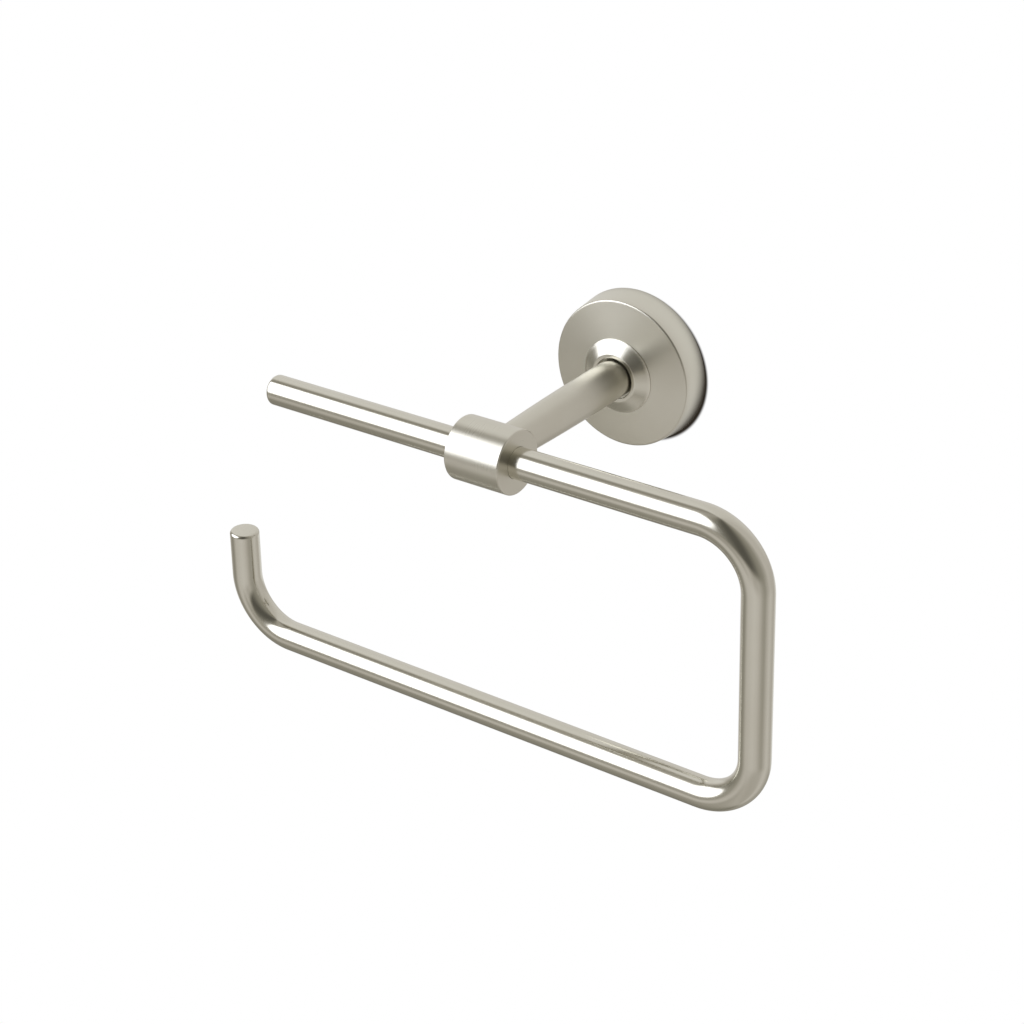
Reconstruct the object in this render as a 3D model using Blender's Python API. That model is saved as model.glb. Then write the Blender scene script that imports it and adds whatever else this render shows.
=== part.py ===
"""Wall-mounted toilet paper holder: a bent bar that swings in a hub on a post.

The origin is the middle of the wall bracket's back face. The wall is the plane y = 0,
the holder stands out along -Y, X runs along the bar and Z is up.
"""

import math

import bmesh
import bpy
from mathutils import Matrix, Vector

mm = 0.001

# The bar and its ring, seen from the front. The hub is centred on the post.
bar_radius = 4.75 * mm
bar_left_reach = 102.5 * mm  # post axis to the tip's axis
bar_right_reach = 89.5 * mm  # post axis to the upright's axis
bar_drop = 88.8 * mm  # top run's axis to the lower run's axis
bar_bend = 18.0 * mm  # bend radius on the axis
top_run_end = 82.6 * mm  # post axis to the top run's free end
tip_rise = 33.5 * mm  # the tip's end above the lower run's axis, measured along the tip
tip_lean_deg = 2.0  # the last bend goes this much past a right angle
bar_chamfer = 0.6 * mm

# How far things stand out from the wall.
projection = 76.0 * mm  # wall to the hub's axis
gasket_thickness = 1.0 * mm
cover_depth = 9.5 * mm  # the cover's skirt, back rim to face edge
face_rise = 1.7 * mm  # the coned face, from its edge to the collar's seat
collar_height = 2.5 * mm

# Rosette.
cover_face_radius = 23.85 * mm
cover_flare = 0.85 * mm  # how much wider the skirt is at the wall
cover_wall = 2.2 * mm
cover_edge_round = 0.8 * mm
web_thickness = 2.5 * mm
cover_lip = 1.0 * mm  # hides the gasket, which lies in a rebate behind it
collar_gap = 0.5 * mm  # between the post and the collar's bore
collar_rim = 1.25 * mm  # the flat ring at the collar's front
collar_width = 5.5 * mm  # bore to the foot of the cone
collar_step = 0.3 * mm
collar_spigot_in = 1.8 * mm  # from the bore to the spigot's inner wall
collar_spigot_wall = 1.8 * mm
collar_spigot_depth = 1.0 * mm

# Post, a long shallow barrel.
post_radius = 6.1 * mm  # at its fullest
post_fall = 0.75 * mm  # how much thinner it is at the hub
post_full_at = 24.0 * mm  # wall to its fullest place

# Hub and what is in it.
hub_radius = 9.75 * mm
hub_length = 19.2 * mm
hub_lip = 1.5 * mm  # right end, holds the sleeve in
hub_round = 0.4 * mm
sleeve_wall = 1.35 * mm

# Wall bracket.
bracket_room = 3.65 * mm  # between its rim and the skirt's inside
bracket_plate = 2.0 * mm
bracket_rim_wall = 1.6 * mm
bracket_rim_height = 5.0 * mm
slot_inset = 7.0 * mm  # from the rim's outside to a slot's middle
slot_radius = 2.25 * mm
slot_travel = 3.5 * mm  # between the slot's two end centres

# Fasteners.
m6_radius = 3.0 * mm
m4_radius = 2.0 * mm
screw_head_radius = 5.0 * mm
screw_head_height = 3.0 * mm
screw_socket_radius = 2.2 * mm
screw_grip = 10.0 * mm  # thread in the post
washer_radius = 6.0 * mm
washer_thickness = 1.0 * mm
spring_washer_radius = 4.9 * mm
spring_washer_thickness = 1.0 * mm
spring_washer_slit = 0.6 * mm
thread_chamfer = 0.4 * mm
dowel_radius = 0.8 * mm
dowel_inset = 1.5 * mm  # from the screw's thread to the dowel's middle
dowel_length = 5.0 * mm
dowel_chamfer = 0.2 * mm
grub_chamfer = 0.3 * mm
grub_socket_radius = 1.1 * mm
grub_socket_depth = 1.6 * mm
grub_sink = 0.4 * mm
lug_width = 8.0 * mm
lug_height = 5.4 * mm
stud_grip = 9.0 * mm
dog_radius = 1.3 * mm
dog_reach = 1.2 * mm  # how deep the dog point stands in the bar

# Swing of the bar, from hanging straight down.
swing_back_deg = 45.0  # towards the wall
swing_out_deg = 90.0  # away from the wall

# Clearances.
seat_gap = 0.1 * mm  # between faces that rest on each other
thread_gap = 0.1 * mm
running_gap = 0.1 * mm
loose_gap = 0.3 * mm

# Facets.
round_steps = 64
bar_steps = 48
bend_steps = 14
small_steps = 24
profile_steps = 16
edge_steps = 5
round_edge_steps = 3
merge_distance = 0.001 * mm
over = 1.0 * mm  # how far a cutter runs past what it cuts

# Sizes that follow from those above.
cover_rim_radius = cover_face_radius + cover_flare
skirt_inner = cover_face_radius - cover_wall
bracket_radius = skirt_inner - bracket_room
slot_spacing = 2 * (bracket_radius - slot_inset)
collar_bore_radius = post_radius + collar_gap
collar_front_radius = collar_bore_radius + collar_rim
collar_base_radius = collar_bore_radius + collar_width
collar_spigot_inner = collar_bore_radius + collar_spigot_in
collar_spigot_outer = collar_spigot_inner + collar_spigot_wall
dowel_offset = m6_radius + dowel_inset
cover_back = seat_gap
rebate_back = gasket_thickness + seat_gap
rebate_radius = cover_rim_radius - cover_lip
face_edge = cover_back + cover_depth
seat_plane = face_edge + face_rise
web_back = seat_plane - web_thickness
collar_back = seat_plane + seat_gap
post_back = seat_plane + seat_gap
sleeve_inner = bar_radius + running_gap
sleeve_outer = sleeve_inner + sleeve_wall
hub_bore = sleeve_outer + seat_gap
stud_hole = m6_radius + thread_gap
screw_hole = m6_radius + thread_gap
set_screw_height = bracket_plate + bracket_rim_height / 2

towards_room = (math.radians(90), 0, 0)  # local +Z becomes -Y
towards_wall = (math.radians(-90), 0, 0)  # local +Z becomes +Y
along_bar = (0, math.radians(90), 0)  # local +Z becomes +X
downwards = (math.radians(180), 0, 0)  # local +Z becomes -Z
hub_centre = (0, -projection, 0)

satin_nickel = (0.63, 0.60, 0.55)
zinc_steel = (0.55, 0.56, 0.57)
black_rubber = (0.02, 0.02, 0.02)
white_nylon = (0.85, 0.84, 0.80)


def clear_scene():
    for obj in list(bpy.data.objects):
        bpy.data.objects.remove(obj, do_unlink=True)


def add_object(name, bm, location=(0, 0, 0), rotation=(0, 0, 0), smooth_deg=35):
    bmesh.ops.recalc_face_normals(bm, faces=bm.faces)
    mesh = bpy.data.meshes.new(name)
    bm.to_mesh(mesh)
    bm.free()
    mesh.shade_smooth()
    mesh.set_sharp_from_angle(angle=math.radians(smooth_deg))
    obj = bpy.data.objects.new(name, mesh)
    obj.location = location
    obj.rotation_euler = rotation
    bpy.context.scene.collection.objects.link(obj)
    return obj


def finish(obj, colour, roughness, metallic):
    material = bpy.data.materials.new(obj.name)
    material.use_nodes = True
    shader = material.node_tree.nodes["Principled BSDF"]
    shader.inputs["Base Color"].default_value = (*colour, 1)
    shader.inputs["Roughness"].default_value = roughness
    shader.inputs["Metallic"].default_value = metallic
    obj.data.materials.append(material)
    return obj


def turned(outline, steps=round_steps):
    """A closed outline of (height, radius) points spun round local Z."""
    bm = bmesh.new()
    points = [bm.verts.new((radius, 0, height)) for height, radius in outline]
    edges = [bm.edges.new((a, b)) for a, b in zip(points, points[1:])]
    if outline[0][1] > 0:
        edges.append(bm.edges.new((points[-1], points[0])))
    bmesh.ops.spin(
        bm,
        geom=edges,
        cent=(0, 0, 0),
        axis=(0, 0, 1),
        angle=math.tau,
        steps=steps,
        use_merge=True,
    )
    bmesh.ops.remove_doubles(bm, verts=bm.verts, dist=merge_distance)
    return bm


def rod_outline(start, end, radius, chamfer=0.0):
    """The outline of a solid rod from one height to another."""
    if chamfer:
        return [
            (start, 0),
            (start, radius - chamfer),
            (start + chamfer, radius),
            (end - chamfer, radius),
            (end, radius - chamfer),
            (end, 0),
        ]
    return [(start, 0), (start, radius), (end, radius), (end, 0)]


def arc_points(centre, radius, from_deg, to_deg, steps):
    """Points (height, radius) on an arc, angles measured from the height axis."""
    points = []
    for step in range(steps + 1):
        angle = math.radians(from_deg + (to_deg - from_deg) * step / steps)
        height = centre[0] + radius * math.cos(angle)
        points.append((height, centre[1] + radius * math.sin(angle)))
    return points


def cut(obj, bm, location=(0, 0, 0), rotation=(0, 0, 0), operation="DIFFERENCE"):
    """Adds a Boolean with a hidden cutter made from bm."""
    number = sum(modifier.type == "BOOLEAN" for modifier in obj.modifiers) + 1
    cutter = add_object(f"{obj.name}_cutter_{number}", bm, location, rotation)
    cutter.hide_render = True
    cutter.display_type = "WIRE"
    modifier = obj.modifiers.new(f"cut {number}", "BOOLEAN")
    modifier.object = cutter
    modifier.operation = operation
    modifier.solver = "EXACT"


def rod(start, end, radius, steps=small_steps):
    return turned(rod_outline(start, end, radius), steps=steps)


def hex_prism(radius, start, end):
    return rod(start, end, radius, steps=6)


def box(low, high):
    bm = bmesh.new()
    bmesh.ops.create_cube(bm, size=1)
    size = Vector(high) - Vector(low)
    middle = (Vector(high) + Vector(low)) / 2
    placed = Matrix.Translation(middle) @ Matrix.Diagonal((*size, 1))
    bmesh.ops.transform(bm, matrix=placed, verts=bm.verts)
    return bm


def wall_gasket():
    outer = rebate_radius - seat_gap
    outline = [(0, skirt_inner), (0, outer), (gasket_thickness, outer), (gasket_thickness, skirt_inner)]
    obj = add_object("wall_gasket", turned(outline), rotation=towards_room)
    return finish(obj, black_rubber, 0.7, 0)


def slot_cutter():
    """A round-ended slot along local X, through the plate."""
    bm = rod(-over, bracket_plate + over, slot_radius)
    for vert in bm.verts:
        side = 0 if abs(vert.co.x) < merge_distance else math.copysign(1, vert.co.x)
        vert.co.x += side * slot_travel / 2
    return bm


def wall_bracket():
    rim_top = bracket_plate + bracket_rim_height
    inner = bracket_radius - bracket_rim_wall
    outline = [
        (0, 0),
        (0, bracket_radius),
        (rim_top, bracket_radius),
        (rim_top, inner),
        (bracket_plate, inner),
        (bracket_plate, 0),
    ]
    obj = add_object("wall_bracket", turned(outline), rotation=towards_room)
    for side in (-1, 1):
        cut(obj, slot_cutter(), (side * slot_spacing / 2, 0, 0), towards_room)
    hole = rod(inner - over, bracket_radius + over, m4_radius + loose_gap)
    cut(obj, hole, (0, -set_screw_height, 0), downwards)
    return finish(obj, zinc_steel, 0.4, 1)


def cover_outline():
    """The cup's section: skirt, rounded edge, coned face, and a flat web in the middle."""
    slope = math.atan2(face_rise, cover_face_radius - collar_base_radius)
    taper = math.atan2(cover_flare, cover_depth)
    outer = [(cover_back, cover_rim_radius)]
    # The rounded edge touches the tapered skirt and the coned face.
    turn = math.pi / 2 - slope - taper
    reach = cover_edge_round * math.tan(turn / 2)
    centre = (
        face_edge - reach * math.cos(taper) - cover_edge_round * math.sin(taper),
        cover_face_radius + reach * math.sin(taper) - cover_edge_round * math.cos(taper),
    )
    first_deg = 90 - math.degrees(taper)
    outer += arc_points(centre, cover_edge_round, first_deg, math.degrees(slope), edge_steps)
    outer += [(seat_plane, collar_base_radius), (seat_plane, screw_hole)]
    inner_edge = face_edge - cover_wall
    inner = [
        (web_back, screw_hole),
        (web_back, collar_base_radius),
        (inner_edge, skirt_inner),
        (rebate_back, skirt_inner),
        (rebate_back, rebate_radius),
        (cover_back, rebate_radius),
    ]
    return outer + inner


def rosette_cover():
    obj = add_object("rosette_cover", turned(cover_outline()), rotation=towards_room, smooth_deg=25)
    # Lug inside the skirt for the set screw.
    lug_inner = bracket_radius + loose_gap
    lug_outer = cover_face_radius - cover_wall / 2
    low = (-lug_width / 2, -set_screw_height - lug_height / 2, -lug_outer)
    high = (lug_width / 2, -set_screw_height + lug_height / 2, -lug_inner)
    cut(obj, box(low, high), operation="UNION")
    hole = rod(lug_inner - over, cover_rim_radius + over, m4_radius + thread_gap)
    cut(obj, hole, (0, -set_screw_height, 0), downwards)
    # Groove for the collar's spigot.
    groove = [
        (seat_plane - collar_spigot_depth - seat_gap, collar_spigot_inner - seat_gap),
        (seat_plane - collar_spigot_depth - seat_gap, collar_spigot_outer + seat_gap),
        (seat_plane + over, collar_spigot_outer + seat_gap),
        (seat_plane + over, collar_spigot_inner - seat_gap),
    ]
    cut(obj, turned(groove), rotation=towards_room)
    dowel_hole = rod(web_back - over, seat_plane + over, dowel_radius + thread_gap)
    cut(obj, dowel_hole, (0, 0, dowel_offset), towards_room)
    return finish(obj, satin_nickel, 0.28, 1)


def collar_ring():
    front = collar_back + collar_height
    outline = [
        (collar_back, collar_bore_radius),
        (collar_back, collar_spigot_inner),
        (collar_back - collar_spigot_depth, collar_spigot_inner),
        (collar_back - collar_spigot_depth, collar_spigot_outer),
        (collar_back, collar_spigot_outer),
        (collar_back, collar_base_radius),
        (collar_back + collar_step, collar_base_radius),
        (front, collar_front_radius),
        (front, collar_bore_radius),
    ]
    obj = add_object("collar_ring", turned(outline), rotation=towards_room, smooth_deg=20)
    return finish(obj, satin_nickel, 0.25, 1)


def grub_screw(name, start, end, centre, dog_end=None):
    """A socket screw along -Z, from its point at start to its socket end, in distances below centre."""
    outline = rod_outline(start, end, m4_radius, grub_chamfer)
    if dog_end is not None:
        outline = [(dog_end, 0), (dog_end, dog_radius), (start, dog_radius)] + outline[1:]
    obj = add_object(name, turned(outline, steps=small_steps), centre, downwards)
    socket = hex_prism(grub_socket_radius, end - grub_socket_depth, end + over)
    cut(obj, socket, centre, downwards)
    return finish(obj, zinc_steel, 0.35, 1)


def cover_set_screw():
    start = bracket_radius - bracket_rim_wall - m4_radius / 2
    # The skirt is wider here than at its face, so the screw stays sunk.
    end = cover_face_radius - grub_sink
    return grub_screw("cover_set_screw", start, end, (0, -set_screw_height, 0))


def post_outline():
    """The barrel's side is an arc through its fullest place and its end at the hub."""
    front = projection
    reach = projection - hub_radius - post_full_at
    arc = (reach * reach + post_fall * post_fall) / (2 * post_fall)
    outline = [(post_back, 0)]
    for step in range(profile_steps + 1):
        height = post_back + (front - post_back) * step / profile_steps
        offset = height - post_full_at
        outline.append((height, post_radius - arc + math.sqrt(arc * arc - offset * offset)))
    outline.append((front, 0))
    return outline


def post():
    barrel = turned(post_outline(), steps=bar_steps)
    obj = add_object("post", barrel, rotation=towards_room, smooth_deg=50)
    saddle = rod(-hub_length, hub_length, hub_radius + seat_gap, steps=round_steps)
    cut(obj, saddle, hub_centre, along_bar)
    cut(obj, rod(post_back - over, post_back + screw_grip + over, screw_hole), rotation=towards_room)
    stud_start = projection - hub_radius - stud_grip - over
    cut(obj, rod(stud_start, projection, stud_hole), rotation=towards_room)
    dowel_end = seat_plane + dowel_length - web_thickness + loose_gap
    dowel_hole = rod(post_back - over, dowel_end, dowel_radius + thread_gap)
    cut(obj, dowel_hole, (0, 0, dowel_offset), towards_room)
    return finish(obj, satin_nickel, 0.3, 1)


def post_dowel():
    start = web_back + seat_gap
    end = start + dowel_length - seat_gap
    pin = turned(rod_outline(start, end, dowel_radius, dowel_chamfer), steps=small_steps)
    obj = add_object("post_dowel", pin, (0, 0, dowel_offset), towards_room)
    return finish(obj, zinc_steel, 0.35, 1)


def post_washer():
    front = web_back - seat_gap
    back = front - washer_thickness
    outline = [(back, screw_hole), (back, washer_radius), (front, washer_radius), (front, screw_hole)]
    obj = add_object("post_washer", turned(outline), rotation=towards_room)
    return finish(obj, zinc_steel, 0.35, 1)


def spring_washer_span():
    front = web_back - 2 * seat_gap - washer_thickness
    return front - spring_washer_thickness, front


def post_spring_washer():
    back, front = spring_washer_span()
    outline = [
        (back, screw_hole),
        (back, spring_washer_radius),
        (front, spring_washer_radius),
        (front, screw_hole),
    ]
    obj = add_object("post_spring_washer", turned(outline), rotation=towards_room)
    low = (-spring_washer_slit / 2, -front - over, 0)
    high = (spring_washer_slit / 2, -back + over, spring_washer_radius + over)
    cut(obj, box(low, high))
    return finish(obj, zinc_steel, 0.35, 1)


def post_screw():
    head_front = spring_washer_span()[0] - seat_gap
    head_back = head_front - screw_head_height
    end = post_back + screw_grip
    outline = [
        (head_back, 0),
        (head_back, screw_head_radius - thread_chamfer),
        (head_back + thread_chamfer, screw_head_radius),
        (head_front, screw_head_radius),
        (head_front, m6_radius),
        (end - thread_chamfer, m6_radius),
        (end, m6_radius - thread_chamfer),
        (end, 0),
    ]
    obj = add_object("post_screw", turned(outline, steps=small_steps), rotation=towards_room)
    socket = hex_prism(screw_socket_radius, head_back - over, head_back + screw_head_height / 2)
    cut(obj, socket, rotation=towards_room)
    return finish(obj, zinc_steel, 0.35, 1)


def hub():
    """Outline along the bar: open bore for the sleeve, and a lip at the right end."""
    left = -hub_length / 2
    right = hub_length / 2
    edge = hub_radius - hub_round
    outline = [(left, hub_bore)]
    outline += arc_points((left + hub_round, edge), hub_round, 180, 90, round_edge_steps)
    outline += arc_points((right - hub_round, edge), hub_round, 90, 0, round_edge_steps)
    outline += [
        (right, sleeve_inner + running_gap),
        (right - hub_lip, sleeve_inner + running_gap),
        (right - hub_lip, hub_bore),
    ]
    obj = add_object("hub", turned(outline), hub_centre, along_bar, smooth_deg=40)
    # Tapped hole at the back for the stud, and one below for the stop screw.
    cut(obj, rod(0, hub_radius + over, stud_hole), hub_centre, towards_wall)
    cut(obj, rod(0, hub_radius + over, m4_radius + thread_gap), hub_centre, downwards)
    return finish(obj, satin_nickel, 0.3, 1)


def hub_stud():
    start = projection - hub_radius - stud_grip
    end = projection - hub_bore - seat_gap
    outline = rod_outline(start, end, m6_radius, thread_chamfer)
    obj = add_object("hub_stud", turned(outline, steps=small_steps), rotation=towards_room)
    return finish(obj, zinc_steel, 0.35, 1)


def hub_sleeve():
    left = -hub_length / 2 + loose_gap
    right = hub_length / 2 - hub_lip - seat_gap
    outline = [(left, sleeve_inner), (left, sleeve_outer), (right, sleeve_outer), (right, sleeve_inner)]
    obj = add_object("hub_sleeve", turned(outline, steps=bar_steps), hub_centre, along_bar)
    cut(obj, rod(0, sleeve_outer + over, dog_radius + loose_gap), hub_centre, downwards)
    return finish(obj, white_nylon, 0.45, 0)


def hub_stop_screw():
    point = bar_radius - dog_reach
    shoulder = hub_bore + seat_gap
    end = hub_radius - grub_sink
    return grub_screw("hub_stop_screw", shoulder, end, hub_centre, dog_end=point)


def groove_cutter():
    """The part-way groove that the stop screw's point runs in, spun round the bar's axis."""
    floor = bar_radius - dog_reach - running_gap
    half_width = dog_radius + running_gap
    # Each end leaves the round point its own half-width, and that sets the stops.
    end_room = math.asin((dog_radius + running_gap) / (bar_radius - dog_reach))
    start = -math.radians(swing_back_deg) - end_room
    sweep = math.radians(swing_back_deg + swing_out_deg) + 2 * end_room
    outside = bar_radius + over
    corners = [(-half_width, floor), (half_width, floor), (half_width, outside), (-half_width, outside)]
    bm = bmesh.new()
    down = Vector((0, math.sin(start), -math.cos(start)))
    verts = [bm.verts.new(Vector((x, 0, 0)) + radius * down) for x, radius in corners]
    face = bm.faces.new(verts)
    bmesh.ops.spin(
        bm, geom=[face], cent=(0, 0, 0), axis=(1, 0, 0), angle=sweep, steps=bar_steps // 2
    )
    return bm


def bar():
    """A round section carried along the ring: extruded on the straights, spun round the bends."""
    bm = bmesh.new()
    # The ring lies in the plane of the hub's axis, with that axis as local X.
    left = Vector((-top_run_end, 0, 0))
    turn = Matrix.Rotation(math.radians(90), 4, "Y")
    circle = bmesh.ops.create_circle(
        bm,
        cap_ends=True,
        radius=bar_radius - bar_chamfer,
        segments=bar_steps,
        matrix=Matrix.Translation(left) @ turn,
    )
    edges = list({edge for vert in circle["verts"] for edge in vert.link_edges})

    def extrude(edges, offset, scale=1.0):
        made = bmesh.ops.extrude_edge_only(bm, edges=edges)["geom"]
        verts = [item for item in made if isinstance(item, bmesh.types.BMVert)]
        middle = sum((vert.co for vert in verts), Vector()) / len(verts)
        for vert in verts:
            vert.co = middle + (vert.co - middle) * scale + Vector(offset)
        return [item for item in made if isinstance(item, bmesh.types.BMEdge)]

    def bend(edges, centre, degrees=90):
        made = bmesh.ops.spin(
            bm, geom=edges, cent=centre, axis=(0, 1, 0), angle=math.radians(degrees), steps=bend_steps
        )["geom_last"]
        return [item for item in made if isinstance(item, bmesh.types.BMEdge)]

    fuller = bar_radius / (bar_radius - bar_chamfer)
    upright_x = bar_right_reach
    tip_x = -bar_left_reach
    edges = extrude(edges, (bar_chamfer, 0, 0), fuller)
    edges = extrude(edges, (upright_x - bar_bend + top_run_end - bar_chamfer, 0, 0))
    edges = bend(edges, (upright_x - bar_bend, 0, -bar_bend))
    edges = extrude(edges, (0, 0, -(bar_drop - 2 * bar_bend)))
    edges = bend(edges, (upright_x - bar_bend, 0, -bar_drop + bar_bend))
    edges = extrude(edges, (tip_x - upright_x + 2 * bar_bend, 0, 0))
    edges = bend(edges, (tip_x + bar_bend, 0, -bar_drop + bar_bend), 90 + tip_lean_deg)
    lean = math.radians(tip_lean_deg)
    up_the_tip = Vector((math.sin(lean), 0, math.cos(lean)))
    edges = extrude(edges, up_the_tip * (tip_rise - bar_bend - bar_chamfer))
    edges = extrude(edges, up_the_tip * bar_chamfer, 1 / fuller)
    bmesh.ops.contextual_create(bm, geom=edges)
    obj = add_object("bar", bm, hub_centre, smooth_deg=30)
    cut(obj, groove_cutter(), hub_centre)
    return finish(obj, satin_nickel, 0.25, 1)


def main():
    clear_scene()
    for make in (
        wall_gasket,
        wall_bracket,
        rosette_cover,
        collar_ring,
        cover_set_screw,
        post,
        post_dowel,
        post_washer,
        post_spring_washer,
        post_screw,
        hub,
        hub_stud,
        hub_sleeve,
        hub_stop_screw,
        bar,
    ):
        make()


main()
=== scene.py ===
import math

import bmesh
import bpy
from mathutils import Matrix, Vector


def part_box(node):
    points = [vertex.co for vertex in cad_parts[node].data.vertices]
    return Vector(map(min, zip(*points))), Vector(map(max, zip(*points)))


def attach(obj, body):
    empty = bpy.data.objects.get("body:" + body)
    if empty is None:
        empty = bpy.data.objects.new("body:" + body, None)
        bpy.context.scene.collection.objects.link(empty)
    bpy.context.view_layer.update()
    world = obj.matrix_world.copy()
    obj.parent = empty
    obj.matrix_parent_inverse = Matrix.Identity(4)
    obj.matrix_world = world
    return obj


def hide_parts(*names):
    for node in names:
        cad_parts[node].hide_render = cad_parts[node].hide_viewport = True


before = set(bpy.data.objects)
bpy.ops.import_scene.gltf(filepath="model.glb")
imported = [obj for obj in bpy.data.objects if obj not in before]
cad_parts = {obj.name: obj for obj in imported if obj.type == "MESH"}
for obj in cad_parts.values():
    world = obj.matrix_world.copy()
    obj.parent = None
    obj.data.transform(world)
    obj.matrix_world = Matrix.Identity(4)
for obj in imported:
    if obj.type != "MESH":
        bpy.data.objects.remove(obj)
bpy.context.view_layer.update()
mm = 0.001
over = 1 * mm  # how far a cutting tool runs past what it cuts
print("frame loaded")

towardsRoom = Matrix.Rotation(math.radians(90), 4, "X")  # a turned piece's own axis Z becomes -Y
alongBar = Matrix.Rotation(math.radians(90), 4, "Y")
downwards = Matrix.Rotation(math.radians(180), 4, "X")


def outFromWall(node):
    low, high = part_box(node)
    return -high.y, -low.y


def widestRadius(node):
    low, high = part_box(node)
    return (high.x - low.x) / 2


barLow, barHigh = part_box("bar")
barRadius = (barHigh.y - barLow.y) / 2
hubOut = -(barHigh.y + barLow.y) / 2
hubAxis = Matrix.Translation((0, -hubOut, barHigh.z - barRadius))


class Value:
    def __init__(self, paint, socket):
        self.paint = paint
        self.socket = socket

    def maths(self, operation, *others):
        return self.paint.node("ShaderNodeMath", {"operation": operation}, dict(enumerate((self, *others))))

    def flipped(self, operation, other):
        return self.paint.node("ShaderNodeMath", {"operation": operation}, {0: other, 1: self})

    def __add__(self, other):
        return self.maths("ADD", other)

    def __radd__(self, other):
        return self.flipped("ADD", other)

    def __sub__(self, other):
        return self.maths("SUBTRACT", other)

    def __rsub__(self, other):
        return self.flipped("SUBTRACT", other)

    def __mul__(self, other):
        return self.maths("MULTIPLY", other)

    def __rmul__(self, other):
        return self.flipped("MULTIPLY", other)

    def __truediv__(self, other):
        return self.maths("DIVIDE", other)

    def __pow__(self, other):
        return self.maths("POWER", other)

    def between(self, low, high):  # 0 at low, 1 at high, smooth in the middle
        settings = {"interpolation_type": "SMOOTHSTEP"}
        return self.paint.node("ShaderNodeMapRange", settings, {0: self, 1: low, 2: high})


class Paint:
    def __init__(self, tree):
        self.tree = tree
        self.tree.nodes.clear()

    def node(self, kind, settings=None, inputs=None, output=0):
        made = self.tree.nodes.new(kind)
        for name, value in (settings or {}).items():
            if name == "stops":
                self.setStops(made.color_ramp, value)
            else:
                setattr(made, name, value)
        for name, value in (inputs or {}).items():
            if isinstance(value, Value):
                self.tree.links.new(value.socket, made.inputs[name])
            else:
                made.inputs[name].default_value = value
        return Value(self, made.outputs[output]) if made.outputs else made

    def setStops(self, ramp, stops):
        while len(ramp.elements) < len(stops):
            ramp.elements.new(1)
        for element, (place, colour) in zip(ramp.elements, stops):
            element.position = place
            element.color = (*colour, 1)

    def parts(self, vector):
        split = self.node("ShaderNodeSeparateXYZ", None, {0: vector}).socket.node
        return [Value(self, socket) for socket in split.outputs]

    def vector(self, x, y, z):
        return self.node("ShaderNodeCombineXYZ", None, {0: x, 1: y, 2: z})

    def place(self):
        return self.node("ShaderNodeTexCoord", output="Object")

    def noise(self, vector, scale=1.0, detail=3.0, roughness=0.5):
        inputs = {"Vector": vector, "Scale": scale, "Detail": detail, "Roughness": roughness}
        return self.node("ShaderNodeTexNoise", None, inputs)

    def mixColours(self, factor, first, second):
        settings = {"data_type": "RGBA"}
        return self.node("ShaderNodeMix", settings, {0: factor, 6: first, 7: second}, output=2)

    def bump(self, height, distance, strength=1.0):
        inputs = {"Height": height, "Distance": distance, "Strength": strength}
        return self.node("ShaderNodeBump", None, inputs)


def newMaterial(name):
    material = bpy.data.materials.new(name)
    material.use_nodes = True
    return material, Paint(material.node_tree)


def surface(paint, inputs):
    shader = paint.node("ShaderNodeBsdfPrincipled", None, inputs)
    paint.node("ShaderNodeOutputMaterial", None, {"Surface": shader})


nickel = {
    "colour": (0.665, 0.648, 0.575),
    "aged": (0.64, 0.618, 0.54),
    "grainWidth": 0.14 * mm,
    "grainLength": 9 * mm,
    "cloudScale": 70,
    "markScale": 420,
    # what lines, clouds and marks add to the roughness
    "lineShare": 0.08,
    "cloudShare": 0.06,
    "markShare": 0.02,
}
# how rough each piece is, and how deep its brushed lines are
brushed = {
    "bar": (0.16, 0.0003 * mm),
    "hub": (0.29, 0.004 * mm),
    "post": (0.31, 0.005 * mm),
    "collar": (0.23, 0.004 * mm),
    "rosette": (0.3, 0.006 * mm),
}


def grainedNickel(piece, grain):
    # grain(paint) gives a vector that changes fast across the brushed lines and slowly along them
    material, paint = newMaterial(piece + "Nickel")
    roughness, depth = brushed[piece]
    lines = paint.noise(grain(paint), 1.0, 4, 0.6)
    clouds = paint.noise(paint.place(), nickel["cloudScale"], 3, 0.55)
    marks = paint.noise(paint.place(), nickel["markScale"], 2, 0.5).between(0.6, 0.78)
    tone = clouds.between(0.35, 0.75) * 0.5 + lines * 0.35
    uneven = (lines - 0.5) * nickel["lineShare"] + (clouds - 0.5) * nickel["cloudShare"]
    inputs = {
        "Base Color": paint.mixColours(tone, (*nickel["colour"], 1), (*nickel["aged"], 1)),
        "Metallic": 1.0,
        "Roughness": roughness + uneven + marks * nickel["markShare"],
        "Normal": paint.bump(lines, depth),
    }
    surface(paint, inputs)
    return material


def barGrain(paint):
    straight = paint.node("ShaderNodeAttribute", {"attribute_name": "straight"}, output="Vector")
    along, side, out = paint.parts(straight)
    across = 1 / nickel["grainWidth"]
    return paint.vector(along / nickel["grainLength"], side * across, out * across)


def turnedGrain(along, first, second, centre=(0, 0, 0)):
    # lathe lines round the axis numbered along, through centre
    def grain(paint):
        place = paint.parts(paint.place())
        a, b, c = (place[axis] - centre[axis] for axis in (along, first, second))
        radius = (b * b + c * c) ** 0.5
        lines = (a + radius) / nickel["grainWidth"]
        return paint.vector(lines, b / nickel["grainLength"], c / nickel["grainLength"])

    return grain


def zincSteel():
    material, paint = newMaterial("zincPlate")
    spangle = paint.node("ShaderNodeTexVoronoi", None, {"Vector": paint.place(), "Scale": 900.0})
    clouds = paint.noise(paint.place(), 160, 4, 0.6)
    tone = spangle * 0.25 + clouds * 0.7
    inputs = {
        "Base Color": paint.mixColours(tone, (0.66, 0.67, 0.68, 1), (0.44, 0.44, 0.42, 1)),
        "Metallic": 1.0,
        "Roughness": 0.28 + clouds * 0.22,
        "Normal": paint.bump(clouds, 0.004 * mm),
    }
    surface(paint, inputs)
    return material


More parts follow.
